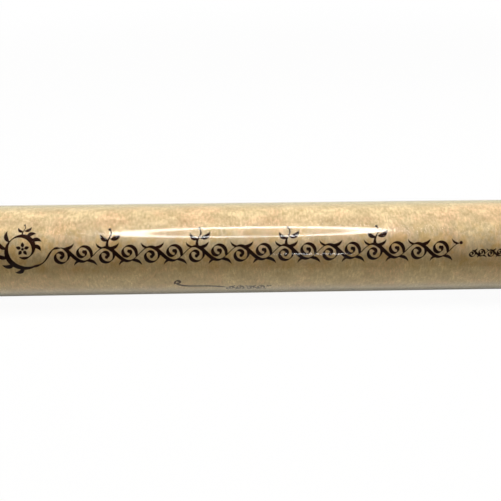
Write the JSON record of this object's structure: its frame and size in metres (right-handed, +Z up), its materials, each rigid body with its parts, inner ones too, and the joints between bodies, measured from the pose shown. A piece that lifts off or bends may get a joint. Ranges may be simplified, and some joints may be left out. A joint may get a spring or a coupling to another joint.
{
  "type": "paper scroll",
  "caption": "Sheet of aged-looking parchment paper, rolled up with its print outwards and kept rolled by a tight clear tubular sleeve.",
  "frame": {"origin": "on the surface that the scroll rests on, under the middle of its length", "axes": "+X along the roll, +Z up, and -Y towards the front, which carries the printed ornament"},
  "size_m": [0.3606, 0.028, 0.0273],
  "materials": {
    "parchment": "matte, mottled tan and yellow like aged parchment",
    "printed_ink": "matte dark brown print on the paper",
    "clear_film": "clear and glossy"
  },
  "bodies": {
    "root": {"rolled_sheet": "parchment", "clear_sleeve": "clear_film"}
  },
  "joints": []
}
